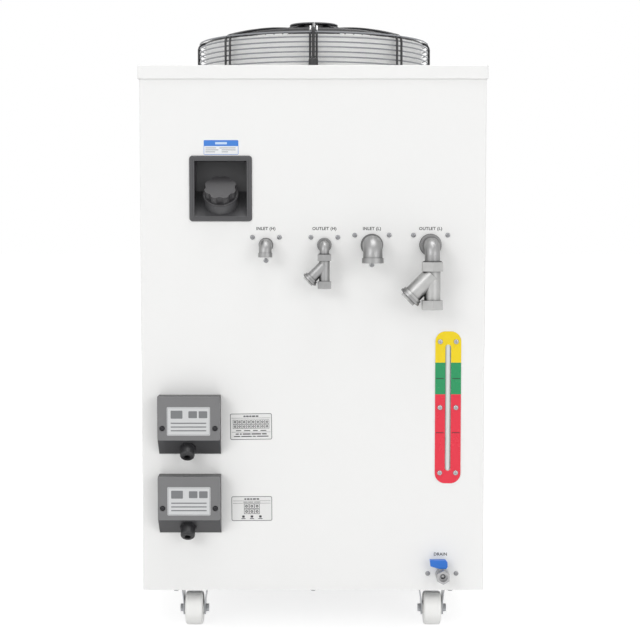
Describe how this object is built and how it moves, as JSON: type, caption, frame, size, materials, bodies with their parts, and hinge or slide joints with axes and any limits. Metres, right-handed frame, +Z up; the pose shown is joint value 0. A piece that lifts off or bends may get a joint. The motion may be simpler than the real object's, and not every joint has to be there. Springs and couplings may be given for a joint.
{
  "type": "recirculating chiller",
  "caption": "Free-standing air-cooled recirculating chiller with two water circuits, Y-strainers, top fan under a wire guard, filler recess, level gauge, drain valve and swivel casters.",
  "frame": {"origin": "on the floor, under the middle of the overall bounding box", "axes": "+Z up; -Y is the side with the hose ports; +X is to the right of someone facing the ports"},
  "size_m": [0.65, 0.9276, 1.192],
  "materials": {
    "frame_sheet": "satin",
    "cabinet_paint": "satin",
    "grille_plastic": "matte",
    "guard_wire": "satin",
    "fan_metal": "satin",
    "cable_jacket": "matte",
    "screw_steel": "polished",
    "bezel_plastic": "matte",
    "cap_plastic": "matte",
    "seal_rubber": "matte",
    "gauge_film": "gloss",
    "sight_plastic": "translucent look",
    "stainless": "cast satin",
    "box_plastic": "matte",
    "lever_plastic": "satin",
    "zinc_plate": "satin",
    "wheel_nylon": "matte",
    "controller_plastic": "matte",
    "button_plastic": "matte",
    "switch_plastic": "satin",
    "tank_plastic": "matte",
    "compressor_paint": "gloss",
    "pump_paint": "satin",
    "fin_metal": "satin",
    "hose_rubber": "matte"
  },
  "bodies": {
    "cabinet": {"base_tray": "frame_sheet", "box_lids": "box_plastic", "cable_glands": "box_plastic", "caster_plates": "zinc_plate", "compressor": "compressor_paint", "condensers": "fin_metal", "control_box": "frame_sheet", "control_panel": "cabinet_paint", "controller": "controller_plastic", "corner_posts": "frame_sheet", "drain_body": "stainless", "fan_cable": "cable_jacket", "fan_guard": "guard_wire", "fan_shroud": "cabinet_paint", "fan_stator": "fan_metal", "filler_neck": "bezel_plastic", "filler_recess": "bezel_plastic", "gauge_plate": "gauge_film", "guard_screws": "screw_steel", "inlet_h_elbow": "stainless", "inlet_l_elbow": "stainless", "left_panel": "cabinet_paint", "outlet_h_elbow": "stainless", "outlet_l_elbow": "stainless", "panel_screws": "screw_steel", "plate_exchanger": "stainless", "port_flanges": "stainless", "port_panel": "cabinet_paint", "pump": "pump_paint", "right_panel": "cabinet_paint", "sight_tube": "sight_plastic", "strainer_h_body": "stainless", "strainer_l_body": "stainless", "strainer_plugs": "stainless", "strainer_screens": "stainless", "terminal_boxes": "box_plastic", "top_cap": "cabinet_paint", "top_frame": "frame_sheet", "water_hoses": "hose_rubber", "water_tank": "tank_plastic"},
    "fan": {"fan_rotor": "fan_metal"},
    "drain_handle": {"drain_lever": "lever_plastic", "drain_ball": "stainless"},
    "cap_lift": {"cap_seal": "seal_rubber"},
    "cap": {"filler_cap": "cap_plastic"},
    "left_intake": {"left_grille": "grille_plastic"},
    "right_intake": {"right_grille": "grille_plastic"},
    "button_set": {"button_set": "button_plastic"},
    "button_up": {"button_up": "button_plastic"},
    "button_down": {"button_down": "button_plastic"},
    "main_switch": {"main_switch": "switch_plastic"},
    "fork_front_left": {"fork_front_left": "zinc_plate"},
    "wheel_front_left": {"wheel_front_left": "wheel_nylon"},
    "fork_front_right": {"fork_front_right": "zinc_plate"},
    "wheel_front_right": {"wheel_front_right": "wheel_nylon"},
    "fork_rear_left": {"fork_rear_left": "zinc_plate"},
    "wheel_rear_left": {"wheel_rear_left": "wheel_nylon"},
    "fork_rear_right": {"fork_rear_right": "zinc_plate"},
    "wheel_rear_right": {"wheel_rear_right": "wheel_nylon"}
  },
  "joints": [
    {"name": "fan_spin", "type": "hinge", "parent": "cabinet", "child": "fan", "pos_m": [0, 0.02082, 1.126], "axis": [0, 0, 1], "continuous": true},
    {"name": "swivel_front_left", "type": "hinge", "parent": "cabinet", "child": "fork_front_left", "pos_m": [-0.229, -0.31417, 0.082], "axis": [0, 0, 1], "continuous": true},
    {"name": "roll_front_left", "type": "hinge", "parent": "fork_front_left", "child": "wheel_front_left", "pos_m": [-0.229, -0.33417, 0.032], "axis": [1, 0, 0], "continuous": true},
    {"name": "swivel_front_right", "type": "hinge", "parent": "cabinet", "child": "fork_front_right", "pos_m": [0.229, -0.31417, 0.082], "axis": [0, 0, 1], "continuous": true},
    {"name": "roll_front_right", "type": "hinge", "parent": "fork_front_right", "child": "wheel_front_right", "pos_m": [0.229, -0.33417, 0.032], "axis": [1, 0, 0], "continuous": true},
    {"name": "swivel_rear_left", "type": "hinge", "parent": "cabinet", "child": "fork_rear_left", "pos_m": [-0.229, 0.35583, 0.082], "axis": [0, 0, 1], "continuous": true},
    {"name": "roll_rear_left", "type": "hinge", "parent": "fork_rear_left", "child": "wheel_rear_left", "pos_m": [-0.229, 0.33582, 0.032], "axis": [1, 0, 0], "continuous": true},
    {"name": "swivel_rear_right", "type": "hinge", "parent": "cabinet", "child": "fork_rear_right", "pos_m": [0.229, 0.35583, 0.082], "axis": [0, 0, 1], "continuous": true},
    {"name": "roll_rear_right", "type": "hinge", "parent": "fork_rear_right", "child": "wheel_rear_right", "pos_m": [0.229, 0.33582, 0.032], "axis": [1, 0, 0], "continuous": true},
    {"name": "drain_turn", "type": "hinge", "parent": "cabinet", "child": "drain_handle", "pos_m": [0.2435, -0.41218, 0.113], "axis": [0, 0, 1], "range_deg": [0, 90]},
    {"name": "cap_pull", "type": "slide", "parent": "cabinet", "child": "cap_lift", "axis": [0, -0.7071, 0.7071], "range_m": [0, 0.06]},
    {"name": "cap_turn", "type": "hinge", "parent": "cap_lift", "child": "cap", "pos_m": [-0.1717, -0.37417, 0.8106], "axis": [0, -0.7071, 0.7071], "range_deg": [0, 90]},
    {"name": "left_grille_pull", "type": "slide", "parent": "cabinet", "child": "left_intake", "axis": [-1, 0, 0], "range_m": [0, 0.06]},
    {"name": "right_grille_pull", "type": "slide", "parent": "cabinet", "child": "right_intake", "axis": [1, 0, 0], "range_m": [0, 0.06]},
    {"name": "button_set_press", "type": "slide", "parent": "cabinet", "child": "button_set", "axis": [0, -1, 0], "range_m": [0, 0.0015], "stiffness_N_per_m": 400},
    {"name": "button_up_press", "type": "slide", "parent": "cabinet", "child": "button_up", "axis": [0, -1, 0], "range_m": [0, 0.0015], "stiffness_N_per_m": 400},
    {"name": "button_down_press", "type": "slide", "parent": "cabinet", "child": "button_down", "axis": [0, -1, 0], "range_m": [0, 0.0015], "stiffness_N_per_m": 400},
    {"name": "main_switch_turn", "type": "hinge", "parent": "cabinet", "child": "main_switch", "pos_m": [0.19, 0.43583, 0.82], "axis": [0, 1, 0], "range_deg": [0, 90]}
  ]
}
